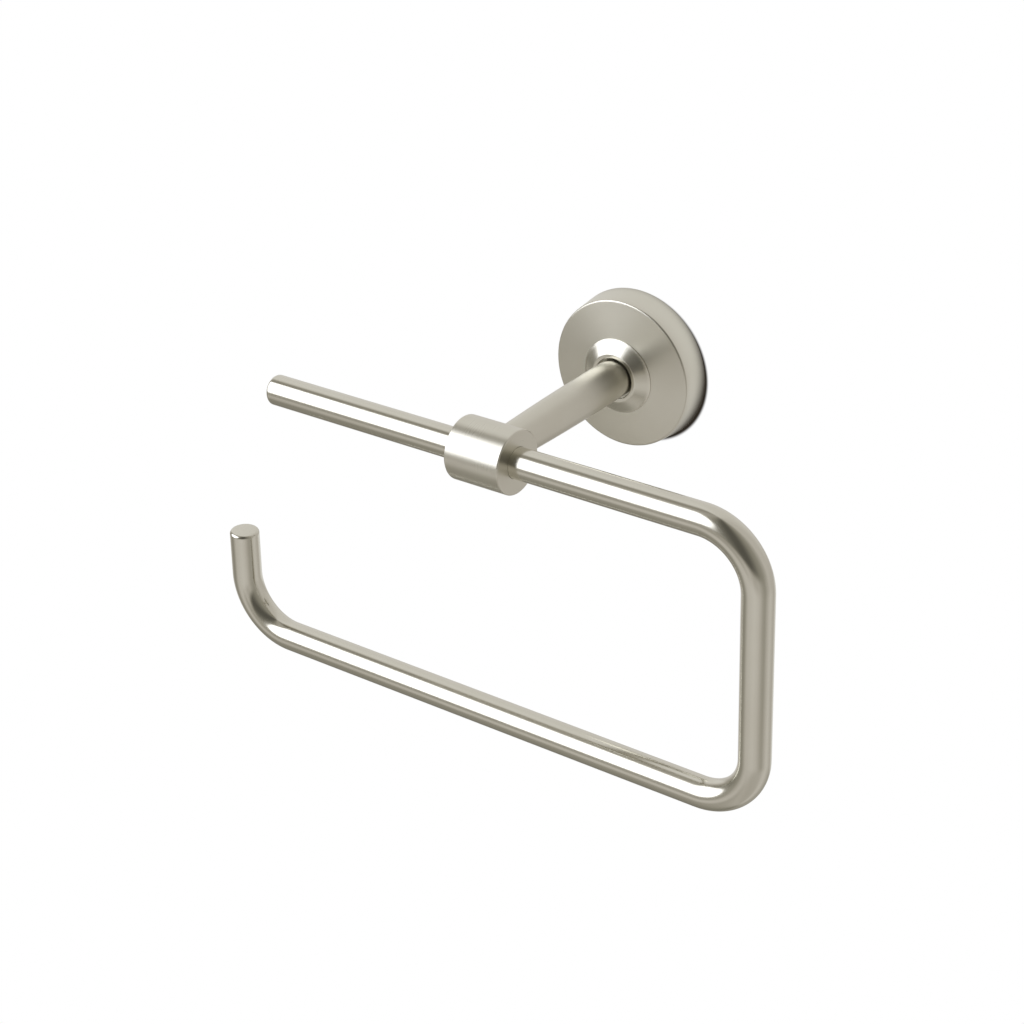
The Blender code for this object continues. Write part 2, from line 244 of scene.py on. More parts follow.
def blackRubber():
    material, paint = newMaterial("blackRubber")
    pebbles = paint.noise(paint.place(), 2600, 3, 0.6)
    dust = paint.noise(paint.place(), 240, 4, 0.6).between(0.5, 0.8)
    inputs = {
        "Base Color": paint.mixColours(dust, (0.012, 0.012, 0.012, 1), (0.035, 0.034, 0.032, 1)),
        "Roughness": 0.62 + dust * 0.2,
        "Normal": paint.bump(pebbles, 0.02 * mm),
    }
    surface(paint, inputs)
    return material


def whiteNylon():
    material, paint = newMaterial("whiteNylon")
    flow = paint.noise(paint.place(), 300, 4, 0.6)
    inputs = {
        "Base Color": paint.mixColours(flow, (0.82, 0.81, 0.77, 1), (0.72, 0.70, 0.65, 1)),
        "Roughness": 0.38 + flow * 0.14,
        "Normal": paint.bump(flow, 0.006 * mm),
        "Subsurface Weight": 0.15,
        "Subsurface Scale": 0.5 * mm,
    }
    surface(paint, inputs)
    return material


def turned(profile, steps=160):
    # profile holds (height, radius, fillet) points, spun round Z
    bm = bmesh.new()
    points = [bm.verts.new((radius, 0, height)) for height, radius, fillet in profile]
    for first, second in zip(points, points[1:]):
        bm.edges.new((first, second))
    if profile[0][1] > 0:
        bm.edges.new((points[-1], points[0]))
    for point, (height, radius, fillet) in zip(points, profile):
        if fillet:
            roundCorner(bm, point, fillet)
    holdEnds(bm)
    line = bm.edges[:]
    bmesh.ops.spin(bm, geom=line, cent=(0, 0, 0), axis=(0, 0, 1), angle=math.tau, steps=steps, use_merge=True)
    bmesh.ops.remove_doubles(bm, verts=bm.verts[:], dist=0.0005 * mm)
    bmesh.ops.recalc_face_normals(bm, faces=bm.faces[:])
    return bm


def holdEnds(bm, near=0.12 * mm):
    # a point close to each end of every long line keeps the shading flat in between
    for edge in bm.edges[:]:
        length = edge.calc_length()
        if length > 5 * near:  # shorter ones are roundings
            first, second = edge.verts
            bmesh.utils.edge_split(edge, first, near / length)
            bmesh.utils.edge_split(edge, second, near / edge.calc_length())


def roundCorner(bm, point, fillet):
    bmesh.ops.bevel(
        bm,
        geom=[point],
        offset=fillet,
        offset_type="OFFSET",
        segments=5,
        profile=0.5,
        affect="VERTICES",
        material=-1,
    )


def rod(start, end, radius, steps=48, fillet=0):
    return turned([(start, 0, 0), (start, radius, fillet), (end, radius, fillet), (end, 0, 0)], steps)


def block(low, high):
    bm = bmesh.new()
    low, high = Vector(low), Vector(high)
    bmesh.ops.create_cube(bm, size=1)
    placed = Matrix.Translation((low + high) / 2) @ Matrix.Diagonal((*(high - low), 1))
    bmesh.ops.transform(bm, matrix=placed, verts=bm.verts[:])
    return bm


def threadedRod(start, end, radius, pitch, steps=32):
    # a zigzag line screwed one turn, so that each crest meets the next, then cut off square
    depth = 0.6 * pitch  # about that of a metric thread
    turns = math.ceil((end - start) / pitch) + 2
    bm = bmesh.new()
    points = []
    for half in range(2 * turns + 1):
        height = start - pitch + half * pitch / 2
        points.append(bm.verts.new((radius - depth * (half % 2), 0, height - pitch / 2)))
    edges = [bm.edges.new(pair) for pair in zip(points, points[1:])]
    bmesh.ops.spin(
        bm,
        geom=edges,
        cent=(0, 0, 0),
        axis=(0, 0, 1),
        dvec=(0, 0, pitch / steps),
        angle=math.tau,
        steps=steps,
    )
    bmesh.ops.remove_doubles(bm, verts=bm.verts[:], dist=0.002 * mm)
    for height, normal in ((start, (0, 0, -1)), (end, (0, 0, 1))):
        everything = bm.verts[:] + bm.edges[:] + bm.faces[:]
        bmesh.ops.bisect_plane(
            bm, geom=everything, dist=0.0001 * mm, plane_co=(0, 0, height), plane_no=normal, clear_outer=True
        )
        cut = [edge for edge in bm.edges if edge.is_boundary]
        rim = [edge for edge in cut if abs(edge.verts[0].co.z - height) < 0.001 * mm]
        bmesh.ops.contextual_create(bm, geom=rim)
    bmesh.ops.recalc_face_normals(bm, faces=bm.faces[:])
    return bm


def newObject(name, bm, place=None, sharpAngle=32):
    if place is not None:
        bmesh.ops.transform(bm, matrix=place, verts=bm.verts[:])
    mesh = bpy.data.meshes.new(name)
    bm.to_mesh(mesh)
    bm.free()
    mesh.shade_smooth()
    mesh.set_sharp_from_angle(angle=math.radians(sharpAngle))
    obj = bpy.data.objects.new(name, mesh)
    bpy.context.scene.collection.objects.link(obj)
    return obj


def carve(obj, cutters, operation="DIFFERENCE", sharpAngle=32):
    # cutters are (bmesh, placement) pairs
    tools = [newObject("tool", bm, place) for bm, place in cutters]
    for tool in tools:
        modifier = obj.modifiers.new("carve", "BOOLEAN")
        modifier.object = tool
        modifier.operation = operation
        modifier.solver = "EXACT"
    graph = bpy.context.evaluated_depsgraph_get()
    carved = bpy.data.meshes.new_from_object(obj.evaluated_get(graph))
    obj.modifiers.clear()
    obj.data = carved
    carved.shade_smooth()
    carved.set_sharp_from_angle(angle=math.radians(sharpAngle))
    for tool in tools:
        bpy.data.objects.remove(tool)
    return obj


def placePiece(obj, body, node, material):
    obj.data.materials.clear()
    obj.data.materials.append(material)
    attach(obj, body)
    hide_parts(node)
    print("made", obj.name)
    return obj


zinc = zincSteel()
rubber = blackRubber()
nylon = whiteNylon()


# one rod, laid out straight and then carried round its corners
bar = {
    "bend": 18 * mm,
    "topRunEnd": 82.6 * mm,
    "tipRise": 33.5 * mm,
    "tipLean": 2,
    "endRound": 1.05 * mm,
    "endHold": 0.2 * mm,
    "sides": 96,
    "bendSteps": 36,
    "grooveHalfWidth": 1.4 * mm,
    "grooveDepth": 1.3 * mm,
    "grooveDegrees": (-67, 112),
}


def barRuns():
    left, right = barLow.x + barRadius, barHigh.x - barRadius
    drop = barHigh.z - barLow.z - 2 * barRadius
    bend = bar["bend"]
    return [
        (right - bend + bar["topRunEnd"], 90),
        (drop - 2 * bend, 90),
        (right - left - 2 * bend, 90 + bar["tipLean"]),
        (bar["tipRise"] - bend, 0),
    ]


def ringStations():
    # lengths along the straight rod where it needs a ring of points
    middle = bar["topRunEnd"]
    hubHalf = widestRadius("hub")
    groove = bar["grooveHalfWidth"]
    stations = [middle + side for side in (-hubHalf, -groove, groove, hubHalf)]
    hold = bar["endRound"] + bar["endHold"]
    length = 0
    for straight, degrees in barRuns():
        length += straight
        stations.append(length)
        arc = bar["bend"] * math.radians(degrees)
        if degrees:
            stations += [length + arc * step / bar["bendSteps"] for step in range(1, bar["bendSteps"] + 1)]
            length += arc
    stations += [hold, length - hold]
    return sorted(stations)


def straightRod():
    bm = bmesh.new()
    sides = bar["sides"]
    ring = bmesh.ops.create_circle(bm, cap_ends=True, radius=barRadius, segments=sides, matrix=alongBar)
    edges = list({edge for vert in ring["verts"] for edge in vert.link_edges})
    reached = 0
    for station in ringStations():
        made = bmesh.ops.extrude_edge_only(bm, edges=edges)["geom"]
        verts = [item for item in made if isinstance(item, bmesh.types.BMVert)]
        bmesh.ops.translate(bm, verts=verts, vec=(station - reached, 0, 0))
        edges = [item for item in made if isinstance(item, bmesh.types.BMEdge)]
        reached = station
    bmesh.ops.contextual_create(bm, geom=edges)
    bmesh.ops.recalc_face_normals(bm, faces=bm.faces[:])
    rims = [edge for edge in bm.edges if len({round(face.normal.x) for face in edge.link_faces}) > 1]
    bmesh.ops.bevel(
        bm, geom=rims, offset=bar["endRound"], segments=5, profile=0.5, affect="EDGES", material=-1
    )
    return bm


def sinkGroove(bm):
    low, high = bar["grooveDegrees"]
    chosen = []
    for face in bm.faces:
        centre = face.calc_center_median()
        angle = math.degrees(math.atan2(centre.y, -centre.z))
        if abs(centre.x - bar["topRunEnd"]) < bar["grooveHalfWidth"] / 2 and low < angle < high:
            chosen.append(face)
    made = bmesh.ops.extrude_face_region(bm, geom=chosen)["geom"]
    verts = [item for item in made if isinstance(item, bmesh.types.BMVert)]
    bmesh.ops.delete(bm, geom=chosen, context="FACES_ONLY")
    inwards = 1 - bar["grooveDepth"] / barRadius
    bmesh.ops.scale(bm, vec=(1, inwards, inwards), verts=verts)


def carryRoundCorners(point):
    # the straight rod's own frame is X along, Y side, Z outwards from the ring
    bend = bar["bend"]
    place = hubAxis @ Matrix.Translation((-bar["topRunEnd"], 0, 0))
    left = point.x
    for straight, degrees in barRuns():
        step = min(left, straight) if degrees else left
        place = place @ Matrix.Translation((step, 0, 0))
        left -= step
        if left <= 0:
            break
        angle = min(left / bend, math.radians(degrees))
        turn = Matrix.Rotation(angle, 4, "Y")
        place = place @ Matrix.Translation((0, 0, -bend)) @ turn @ Matrix.Translation((0, 0, bend))
        left -= angle * bend
    return place @ Vector((0, point.y, point.z))


def makeBar():
    bm = straightRod()
    sinkGroove(bm)
    straight = bm.verts.layers.float_vector.new("straight")
    for vert in bm.verts:
        vert[straight] = vert.co
        vert.co = carryRoundCorners(vert.co)
    obj = newObject("bentBar", bm)
    return placePiece(obj, "swing_bar", "bar", grainedNickel("bar", barGrain))


makeBar()


# the hub with its nylon sleeve, which the bar turns in
hub = {
    "endRound": 0.4 * mm,
    "lip": 1.5 * mm,
    "sleeveWall": 1.35 * mm,
    "sleeveRound": 0.2 * mm,
    "sleeveHole": 1.6 * mm,
    "runningGap": 0.1 * mm,
    "lipChamfer": 0.08 * mm,
    "lipGap": 0.03 * mm,
    "screwHole": 2.1 * mm,
    "studHole": 3.1 * mm,
    "holeFlare": 0.3 * mm,
}
hubHalf = widestRadius("hub")
hubRadius = (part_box("hub")[1].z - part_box("hub")[0].z) / 2
sleeveBore = barRadius + hub["runningGap"]
hubBore = sleeveBore + hub["sleeveWall"] + hub["runningGap"]


def flaredHole(radius, mouth, flare):
    # a round hole along Z whose mouth opens out
    beyond = 2 * mm
    end, wide = mouth + beyond, radius + flare + beyond
    profile = [(0, 0, 0), (0, radius, 0), (mouth - flare, radius, 0), (end, wide, 0), (end, 0, 0)]
    return turned(profile, 48)


def makeHub():
    lipBore = barRadius + hub["lipGap"]
    lipStart = hubHalf - hub["lip"]
    profile = [
        (-hubHalf, hubBore, hub["lipChamfer"]),
        (-hubHalf, hubRadius, hub["endRound"]),
        (hubHalf, hubRadius, hub["endRound"]),
        (hubHalf, lipBore, hub["lipChamfer"]),
        (lipStart, lipBore, 0),
        (lipStart, hubBore, 0),
    ]
    obj = newObject("swivelHub", turned(profile, 192), hubAxis @ alongBar)
    stud = rod(0, hubRadius + over, hub["studHole"])
    stop = flaredHole(hub["screwHole"], hubRadius, hub["holeFlare"])
    towardsWall = Matrix.Rotation(math.radians(-90), 4, "X")
    carve(obj, [(stud, hubAxis @ towardsWall), (stop, hubAxis @ downwards)])
    material = grainedNickel("hub", turnedGrain(0, 1, 2, hubAxis.translation))
    return placePiece(obj, "mount", "hub", material)


def makeSleeve():
    low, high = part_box("hub_sleeve")
    inner, outer = sleeveBore, (high.z - low.z) / 2
    ends = hub["sleeveRound"]
    profile = [(low.x, inner, ends), (low.x, outer, ends), (high.x, outer, ends), (high.x, inner, ends)]
    obj = newObject("nylonSleeve", turned(profile, 96), hubAxis @ alongBar)
    carve(obj, [(rod(0, hubRadius, hub["sleeveHole"]), hubAxis @ downwards)])
    return placePiece(obj, "mount", "hub_sleeve", nylon)


makeHub()
makeSleeve()


# the slightly barrelled post: full at fullAt from the wall, falling off to the hub
post = {
    "radius": 6.1 * mm,
    "fall": 0.75 * mm,
    "fullAt": 24 * mm,
    "steps": 40,
    "saddleGap": 0.02 * mm,
    "rearRound": 0.3 * mm,
    "screwHole": 3.1 * mm,
    "screwDepth": 12 * mm,
    "studDepth": 10 * mm,
    "pinHole": 0.9 * mm,
    "pinDepth": 2.9 * mm,
    "pinOffset": 4.5 * mm,
}


def makePost():
    back = outFromWall("post")[0]
    reach = hubOut - hubRadius - post["fullAt"]
    arc = (reach**2 + post["fall"] ** 2) / (2 * post["fall"])
    profile = [(back, 0, 0)]
    for step in range(post["steps"] + 1):
        height = back + (hubOut - back) * step / post["steps"]
        offset = height - post["fullAt"]
        profile.append((height, post["radius"] - arc + math.sqrt(arc**2 - offset**2), 0))
    profile.append((hubOut, 0, 0))
    profile[1] = (*profile[1][:2], post["rearRound"])
    obj = newObject("wallPost", turned(profile, 160), towardsRoom, 50)
    saddle = rod(-2 * hubHalf, 2 * hubHalf, hubRadius + post["saddleGap"], 384)
    screw = rod(back - over, back + post["screwDepth"], post["screwHole"])
    stud = rod(hubOut - hubRadius - post["studDepth"], hubOut, post["screwHole"])
    pin = rod(back - over, back + post["pinDepth"], post["pinHole"], 24)
    raised = Matrix.Translation((0, 0, post["pinOffset"])) @ towardsRoom
    cutters = [(saddle, hubAxis @ alongBar), (screw, towardsRoom), (stud, towardsRoom), (pin, raised)]
    carve(obj, cutters, sharpAngle=50)
    return placePiece(obj, "mount", "post", grainedNickel("post", turnedGrain(1, 0, 2)))


# the wall cover, a turned cup with a lug inside for its set screw
rosette = {
    "faceRadius": 23.85 * mm,
    "skirtWall": 2.2 * mm,
    "web": 2.5 * mm,
    "edgeRound": 0.48 * mm,
    "rimRound": 0.5 * mm,
    "lip": 1 * mm,
    "rebate": 1.1 * mm,
    "insideRound": 0.6 * mm,
    "faceRise": 1.7 * mm,
    "postHole": 3.1 * mm,
    "pinHole": 0.9 * mm,
    "spigotGroove": (8.3 * mm, 10.3 * mm, 1.1 * mm),
    "lug": (8 * mm, 5.4 * mm, 18.3 * mm),
    "screwHeight": 4.5 * mm,
    "screwMouth": 0.4 * mm,  # where the flared hole ends, inside the rim
}


def makeRosetteCover():
    back, seat = outFromWall("rosette_cover")
    rim = widestRadius("rosette_cover")
    seatRadius = widestRadius("collar_ring")
    face = rosette["faceRadius"]
    faceEdge = seat - rosette["faceRise"]
    inside = face - rosette["skirtWall"]
    profile = [
        (rosette["rebate"], inside, 0),
        (rosette["rebate"], rim - rosette["lip"], 0),
        (back, rim - rosette["lip"], 0),
        (back, rim, rosette["rimRound"]),
        (faceEdge, face, rosette["edgeRound"]),
        (seat, seatRadius, 0),
        (seat, rosette["postHole"], 0),
        (seat - rosette["web"], rosette["postHole"], 0),
        (seat - rosette["web"], seatRadius, rosette["insideRound"]),
        (faceEdge - rosette["skirtWall"], inside, rosette["insideRound"]),
    ]
    obj = newObject("rosetteCover", turned(profile, 256), towardsRoom, 20)
    width, height, lugInner = rosette["lug"]
    middle = rosette["screwHeight"]
    low = (-width / 2, -middle - height / 2, -(inside + face) / 2)
    high = (width / 2, -middle + height / 2, -lugInner)
    carve(obj, [(block(low, high), None)], "UNION")
    inner, outer, depth = rosette["spigotGroove"]
    bottom, top = seat - depth, seat + depth
    groove = [(bottom, inner, 0), (bottom, outer, 0), (top, outer, 0), (top, inner, 0)]
    screw = flaredHole(hub["screwHole"], rim - rosette["screwMouth"], hub["holeFlare"])
    pin = rod(seat - 2 * rosette["web"], seat + rosette["web"], rosette["pinHole"], 24)
    screwPlace = Matrix.Translation((0, -middle, 0)) @ downwards
    pinPlace = Matrix.Translation((0, 0, post["pinOffset"])) @ towardsRoom
    carve(obj, [(turned(groove), towardsRoom), (screw, screwPlace), (pin, pinPlace)], sharpAngle=20)
    material = grainedNickel("rosette", turnedGrain(1, 0, 2))
    return placePiece(obj, "mount", "rosette_cover", material)


# the coned ring round the foot of the post
collar = {
    "frontRadius": 7.85 * mm,
    "boreRadius": 6.6 * mm,
    "spigot": (8.4 * mm, 10.2 * mm, 1.0 * mm),
    "seatGap": 0.09 * mm,
    "frontRound": 0.3 * mm,
    "footStep": 0.12 * mm,
    "footRound": 0.08 * mm,
    "apron": (0.55 * mm, 0.28 * mm, 0.5 * mm),  # how far in, how high, how rounded
}


def makeCollar():
    spigotBack, front = outFromWall("collar_ring")
    foot = widestRadius("collar_ring")
    inner, outer, depth = collar["spigot"]
    apronIn, apronHigh, apronRound = collar["apron"]
    back = spigotBack + depth
    profile = [
        (back, collar["boreRadius"], 0),
        (back, inner, 0),
        (spigotBack, inner, 0),
        (spigotBack, outer, 0),
        (back - collar["seatGap"], outer, 0),
        (back - collar["seatGap"], foot, 0),
        (back + collar["footStep"], foot, collar["footRound"]),
        (back + apronHigh, foot - apronIn, apronRound),
        (front, collar["frontRadius"], collar["frontRound"]),
        (front, collar["boreRadius"], collar["frontRound"]),
    ]
    obj = newObject("collarRing", turned(profile, 192), towardsRoom, 30)
    material = grainedNickel("collar", turnedGrain(1, 0, 2))
    return placePiece(obj, "mount", "collar_ring", material)


gasket = {
    "edgeRound": 0.2 * mm,
}


def makeGasket():
    back, front = outFromWall("wall_gasket")
    outer = widestRadius("wall_gasket")
    inner = rosette["faceRadius"] - rosette["skirtWall"]
    soft = gasket["edgeRound"]
    profile = [(back, inner, soft), (back, outer, soft), (front, outer, soft), (front, inner, soft)]
    obj = newObject("rubberGasket", turned(profile, 192), towardsRoom)
    return placePiece(obj, "mount", "wall_gasket", rubber)


makePost()
makeRosetteCover()
makeCollar()
makeGasket()


# the pressed plate behind the cover
bracket = {
    "plate": 2 * mm,
    "rimWall": 1.6 * mm,
    "pressRound": 0.6 * mm,
    "edgeRound": 0.2 * mm,
    "slotMiddle": 11 * mm,
    "slotRadius": 2.25 * mm,
    "slotTravel": 3.5 * mm,
    "screwHole": 2.3 * mm,
}


def slotTool(bottom, top, radius, travel):
    bm = rod(bottom, top, radius)
    right = [vert for vert in bm.verts if vert.co.x > radius / 50]
    left = [vert for vert in bm.verts if vert.co.x < -radius / 50]
    bmesh.ops.translate(bm, verts=right, vec=(travel / 2, 0, 0))
    bmesh.ops.translate(bm, verts=left, vec=(-travel / 2, 0, 0))
    return bm


def makeBracket():
    back, front = outFromWall("wall_bracket")
    outer = widestRadius("wall_bracket")
    inner = outer - bracket["rimWall"]
    plate = back + bracket["plate"]
    profile = [
        (back, 0, 0),
        (back, outer, bracket["pressRound"]),
        (front, outer, bracket["edgeRound"]),
        (front, inner, bracket["edgeRound"]),
        (plate, inner, bracket["pressRound"]),
        (plate, 0, 0),
    ]
    obj = newObject("pressedBracket", turned(profile), towardsRoom)
    tools = []
    for side in (-1, 1):
        place = Matrix.Translation((side * bracket["slotMiddle"], 0, 0)) @ towardsRoom
        tools.append((slotTool(-over, plate + over, bracket["slotRadius"], bracket["slotTravel"]), place))
    hole = rod(inner - over, outer + over, bracket["screwHole"])
    tools.append((hole, Matrix.Translation((0, -rosette["screwHeight"], 0)) @ downwards))
    carve(obj, tools)
    for face in obj.data.polygons:
        face.use_smooth = abs(face.normal.y) < 0.999  # the plate's two flats are shaded flat
    return placePiece(obj, "mount", "wall_bracket", zinc)


screws = {
    "grubRadius": 2 * mm,
    "grubPitch": 0.7 * mm,
    "postPitch": 1.0 * mm,
    "postRadius": 3 * mm,
    "headRadius": 5 * mm,
    "headHeight": 3 * mm,
    "headRound": 0.4 * mm,
    "overlap": 0.5 * mm,  # how far the thread runs on into the head
    "headSocket": 2.2 * mm,
    "grubSocket": 1.1 * mm,
    "grubSocketDepth": 1.6 * mm,
    "dogRadius": 1.3 * mm,
    "dogRound": 0.15 * mm,
    "dogGap": 0.1 * mm,
    "pinRound": 0.2 * mm,
}


def grubScrew(name, node, depth, out, dogLength=0):
    # depth is how far below the piece's own middle line its point and its socket end lie
    point, end = depth
    place = Matrix.Translation((0, -out, 0)) @ downwards
    thread = threadedRod(point + dogLength, end, screws["grubRadius"], screws["grubPitch"])
    obj = newObject(name, thread, place)
    if dogLength:
        dog = rod(point, point + 2 * dogLength, screws["dogRadius"], fillet=screws["dogRound"])
        carve(obj, [(dog, place)], "UNION")
    socket = rod(end - screws["grubSocketDepth"], end + over, screws["grubSocket"], 6)
    carve(obj, [(socket, place)])
    return placePiece(obj, "mount", node, zinc)


def makePostScrew():
    back, front = outFromWall("post_screw")
    headFront = back + screws["headHeight"]
    thread = threadedRod(headFront - screws["overlap"], front, screws["postRadius"], screws["postPitch"])
    obj = newObject("postScrew", thread, towardsRoom)
    head = rod(back, headFront, screws["headRadius"], 96, screws["headRound"])
    carve(obj, [(head, towardsRoom)], "UNION")
    socket = rod(back - over, back + screws["headHeight"] / 2, screws["headSocket"], 6)
    carve(obj, [(socket, towardsRoom)])
    return placePiece(obj, "mount", "post_screw", zinc)


def makeStud():
    back, front = outFromWall("hub_stud")
    thread = threadedRod(back, front, screws["postRadius"], screws["postPitch"])
    obj = newObject("hubStud", thread, towardsRoom)
    return placePiece(obj, "mount", "hub_stud", zinc)


def makePin():
    back, front = outFromWall("post_dowel")
    place = Matrix.Translation((0, 0, post["pinOffset"])) @ towardsRoom
    pin = rod(back, front, widestRadius("post_dowel"), 48, screws["pinRound"])
    obj = newObject("locatingPin", pin, place)
    return placePiece(obj, "mount", "post_dowel", zinc)


washers = {
    "boreGap": 0.1 * mm,
    "plainRound": 0.12 * mm,
    "springRound": 0.1 * mm,
    "springSplit": 0.6 * mm,
}


def washerProfile(node, soft):
    back, front = outFromWall(node)
    outer = widestRadius(node)
    inner = screws["postRadius"] + washers["boreGap"]
    return [(back, inner, soft), (back, outer, soft), (front, outer, soft), (front, inner, soft)]


def makeWashers():
    plain = newObject("plainWasher", turned(washerProfile("post_washer", washers["plainRound"])), towardsRoom)
    placePiece(plain, "mount", "post_washer", zinc)
    profile = washerProfile("post_spring_washer", washers["springRound"])
    spring = newObject("springWasher", turned(profile), towardsRoom)
    half = washers["springSplit"] / 2
    past = 20 * mm  # well beyond the washer
    carve(spring, [(block((-half, -past, 0), (half, past, past)), None)])
    placePiece(spring, "mount", "post_spring_washer", zinc)


def belowAxis(node):
    low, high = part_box(node)
    return -high.z, -low.z


makeBracket()
grubScrew("coverSetScrew", "cover_set_screw", belowAxis("cover_set_screw"), rosette["screwHeight"])
stopDepth = belowAxis("hub_stop_screw")
dogLength = hubBore + screws["dogGap"] - stopDepth[0]
grubScrew("hubStopScrew", "hub_stop_screw", stopDepth, hubOut, dogLength)
makePostScrew()
makeStud()
makePin()
makeWashers()


# the floor, and the patch of wall that carries a painted shadow behind the cover
studio = {
    "floorDepth": 0.35,
    "floorSize": 6.0,
    "wallRadius": 60 * mm,
    # where the painted shadow round the cover lies, how soft it is and its colour
    "shadowShift": (0.45 * mm, -0.8 * mm),
    "shadowEdge": (24.3 * mm, 25.4 * mm),
    "shadowColour": (0.03, 0.024, 0.018),
    # the wall as reflections see it: a grey glow with its own painted shadow near the rim, seen only close by
    "mirroredShift": (1.2 * mm, -1.6 * mm),
    "mirroredEdge": (23.4 * mm, 28.5 * mm),
    "mirroredWall": (0.82, 0.81, 0.79),
    "mirroredReach": (9 * mm, 18 * mm),
}


def makeFloor():
    bm = bmesh.new()
    bmesh.ops.create_grid(bm, x_segments=1, y_segments=1, size=studio["floorSize"])
    bmesh.ops.translate(bm, verts=bm.verts[:], vec=(0, 0, -studio["floorDepth"]))
    floor = newObject("paleFloor", bm)
    material, paint = newMaterial("paleFloor")
    glow = paint.node("ShaderNodeEmission", None, {"Color": (1, 1, 1, 1), "Strength": 1.0})
    paint.node("ShaderNodeOutputMaterial", None, {"Surface": glow})
    floor.data.materials.append(material)
    cameraOnly(floor)


def makeWallPatch():
    # the bit of wall round the rosette, burnt out white but for a painted shadow where the two meet;
    # reflections nearby see a grey glow with a painted shadow too
    bm = bmesh.new()
    bmesh.ops.create_circle(bm, cap_ends=True, radius=studio["wallRadius"], segments=96, matrix=towardsRoom)
    wall = newObject("wallPatch", bm)
    material, paint = newMaterial("wallPatch")
    x, y, z = paint.parts(paint.place())

    def fade(name):
        right, up = studio[name + "Shift"]
        reach = ((x - right) * (x - right) + (z - up) * (z - up)) ** 0.5
        return reach.between(*studio[name + "Edge"])

    def glow(colour):
        return paint.node("ShaderNodeEmission", None, {"Color": (*colour, 1)})

    def either(factor, first, second):
        return paint.node("ShaderNodeMixShader", None, {0: factor, 1: first, 2: second})

    dark = studio["shadowColour"]
    clear = paint.node("ShaderNodeBsdfTransparent")
    # for the camera: painted shadow near the rim, white glow beyond
    straight = either(fade("shadow"), glow(dark), glow((1, 1, 1)))
    # for reflections: painted shadow on a grey glow, faded out with the ray's length
    mirrored = either(fade("mirrored"), glow(dark), glow(studio["mirroredWall"]))
    travelled = paint.node("ShaderNodeLightPath", output="Ray Length")
    mirrored = either(travelled.between(*studio["mirroredReach"]), mirrored, clear)
    seen = paint.node("ShaderNodeLightPath", output="Is Camera Ray")
    rear = paint.node("ShaderNodeNewGeometry", output="Backfacing")
    wallFace = either(rear, either(seen, mirrored, straight), clear)
    paint.node("ShaderNodeOutputMaterial", None, {"Surface": wallFace})
    wall.data.materials.append(material)
    wall.visible_diffuse = False
    wall.visible_shadow = False


def cameraOnly(obj):
    obj.visible_glossy = False
    obj.visible_diffuse = False
    obj.visible_transmission = False
    obj.visible_shadow = False


# how bright the room is all round, by azimuth: 0 is in front, -90 left, 180 the wall side;
# "floor" is the lowest ring, and "band", "strip" and "above" lie over it
room = {
    "above": {
        -180: 0.77, -150: 0.78, -125: 0.86, -112: 0.84, -103: 0.60,
        -95: 0.34, -85: 0.30, -65: 0.45, -35: 0.50,
        -12: 0.34, 0: 0.20, 14: 0.12, 34: 0.12, 50: 0.20, 66: 0.31, 82: 0.36, 100: 0.50, 116: 0.66, 145: 0.64,
        180: 0.77,
    },
    "strip": {
        -180: 0.62, -140: 0.70, -120: 0.66, -104: 0.42, -92: 0.27, -78: 0.27, -66: 0.36, -50: 0.40, -30: 0.44,
        -12: 0.46, 4: 0.64, 24: 0.55, 44: 0.58, 62: 0.45, 78: 0.38, 94: 0.52, 114: 0.66, 130: 0.62, 142: 0.62,
        160: 0.60, 180: 0.62,
    },
    "band": {
        -180: 0.88, -160: 0.84, -140: 0.74, -116: 0.67, -102: 0.51,
        -86: 0.38, -74: 0.33, -62: 0.38, -50: 0.54,
        -38: 0.66, -10: 0.71, 10: 0.74, 34: 0.68, 50: 0.57,
        62: 0.46, 76: 0.41, 90: 0.54, 104: 0.66, 118: 0.72,
        134: 0.64, 150: 0.55, 164: 0.68, 180: 0.88,
    },
    "floor": {
        -180: 0.44, -150: 0.36, -128: 0.26, -110: 0.25, -90: 0.31, -66: 0.32, -46: 0.38, -30: 0.47, -10: 0.57,
        20: 0.53, 50: 0.54, 74: 0.57, 92: 0.67, 110: 0.71, 128: 0.64, 145: 0.54, 165: 0.43, 180: 0.44,
    },
    "edges": {"band": (-43, -33), "strip": (-25, -15), "above": (-10, 4)},  # elevations where each takes over
    "tints": ((0.3, (1, 0.955, 0.83)), (0.62, (1, 0.957, 0.91)), (0.9, (1, 0.992, 0.975))),
}
softbox = {
    "azimuth": -45,
    "elevation": 25,
    "halfWidth": 0.62,  # as a share of its distance
    "halfHeight": 0.55,
    "shift": -0.04,
    "corners": 2.6,
    "edge": 0.05,
    "level": 2.4,
    "tint": (0.97, 0.985, 1.05),
}


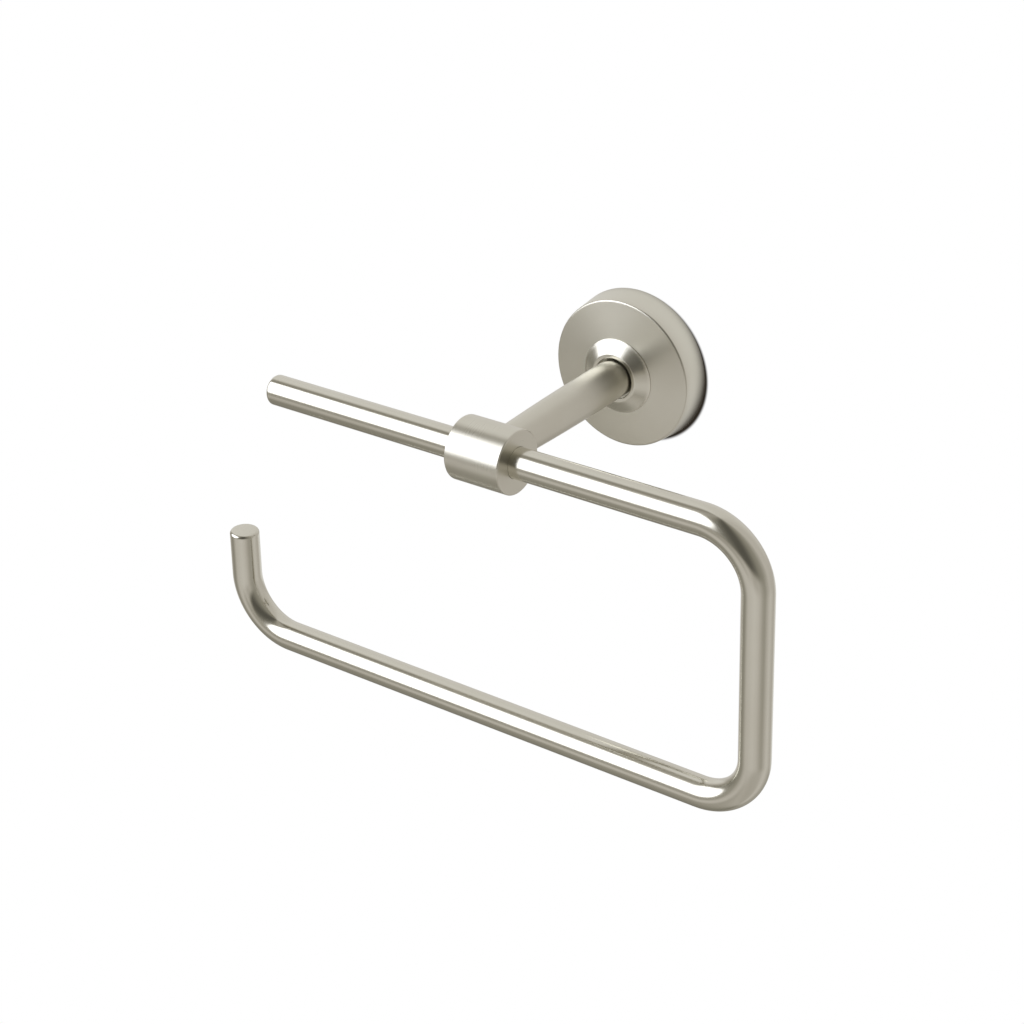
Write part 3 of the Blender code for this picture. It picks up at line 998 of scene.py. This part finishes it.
def makeStudioLight():
    world = bpy.data.worlds.new("studio")
    bpy.context.scene.world = world
    world.use_nodes = True
    paint = Paint(world.node_tree)
    direction = paint.node("ShaderNodeTexCoord", output="Generated")
    x, y, z = paint.parts(direction)
    turn = x.maths("ARCTAN2", y * -1) / math.tau + 0.5
    elevation = z.maths("ARCSINE") * (180 / math.pi)

    def ring(name):
        stops = [((azimuth + 180) / 360, (level, level, level)) for azimuth, level in room[name].items()]
        return paint.node("ShaderNodeValToRGB", {"stops": stops}, {0: turn})

    def dot(vector):
        inputs = {0: direction, 1: vector}
        return paint.node("ShaderNodeVectorMath", {"operation": "DOT_PRODUCT"}, inputs, output="Value")

    def panel():
        azimuth, height = math.radians(softbox["azimuth"]), math.radians(softbox["elevation"])
        level, rise = math.cos(height), math.sin(height)
        facing = dot((math.sin(azimuth) * level, -math.cos(azimuth) * level, rise))
        sideways = dot((math.cos(azimuth), math.sin(azimuth), 0))
        upwards = dot((-math.sin(azimuth) * rise, math.cos(azimuth) * rise, level))
        ahead = facing.maths("MAXIMUM", 0.01)
        across = ((sideways / ahead - softbox["shift"]) / softbox["halfWidth"]).maths("ABSOLUTE")
        upright = (upwards / ahead / softbox["halfHeight"]).maths("ABSOLUTE")
        reach = (across ** softbox["corners"] + upright ** softbox["corners"]) ** (1 / softbox["corners"])
        return (1 - reach.between(1 - softbox["edge"], 1 + softbox["edge"])) * facing.between(0, 0.05)

    shade = ring("floor")
    for name, (low, high) in room["edges"].items():
        shade = shade + (ring(name) - shade) * elevation.between(low, high)
    lamp = panel()
    bright = shade + (softbox["level"] - shade) * lamp
    seen = paint.node("ShaderNodeLightPath", output="Is Camera Ray")
    tint = paint.node("ShaderNodeValToRGB", {"stops": room["tints"]}, {0: bright})
    tint = paint.mixColours(lamp, tint, (*softbox["tint"], 1))
    colour = paint.mixColours(seen, tint, (1, 1, 1, 1))
    strength = bright + (1 - bright) * seen
    glow = paint.node("ShaderNodeBackground", None, {"Color": colour, "Strength": strength})
    paint.node("ShaderNodeOutputWorld", None, {"Surface": glow})
    world.cycles.sampling_method = "MANUAL"
    world.cycles.sample_map_resolution = 1024


camera = {
    "location": (0.358423, -0.533149, 0.288368),
    "azimuth": 37.55375,
    "elevation": 27.87228,
    "roll": -2.05291,
    "lens": 79.535,
    "sensor": 36.0,
}


def makeCamera():
    azimuth, elevation, roll = (math.radians(camera[name]) for name in ("azimuth", "elevation", "roll"))
    made = bpy.data.objects.new("camera", bpy.data.cameras.new("camera"))
    made.data.lens = camera["lens"]
    made.data.sensor_width = camera["sensor"]
    made.data.clip_start = 0.01
    made.data.clip_end = 50
    place = Matrix.Translation(camera["location"])
    place = place @ Matrix.Rotation(azimuth, 4, "Z") @ Matrix.Rotation(math.pi / 2 - elevation, 4, "X")
    made.matrix_world = place @ Matrix.Rotation(roll, 4, "Z")
    bpy.context.scene.collection.objects.link(made)
    bpy.context.scene.camera = made


makeFloor()
makeWallPatch()
makeStudioLight()
makeCamera()
bpy.context.scene.view_settings.view_transform = "Standard"
print("studio ready")
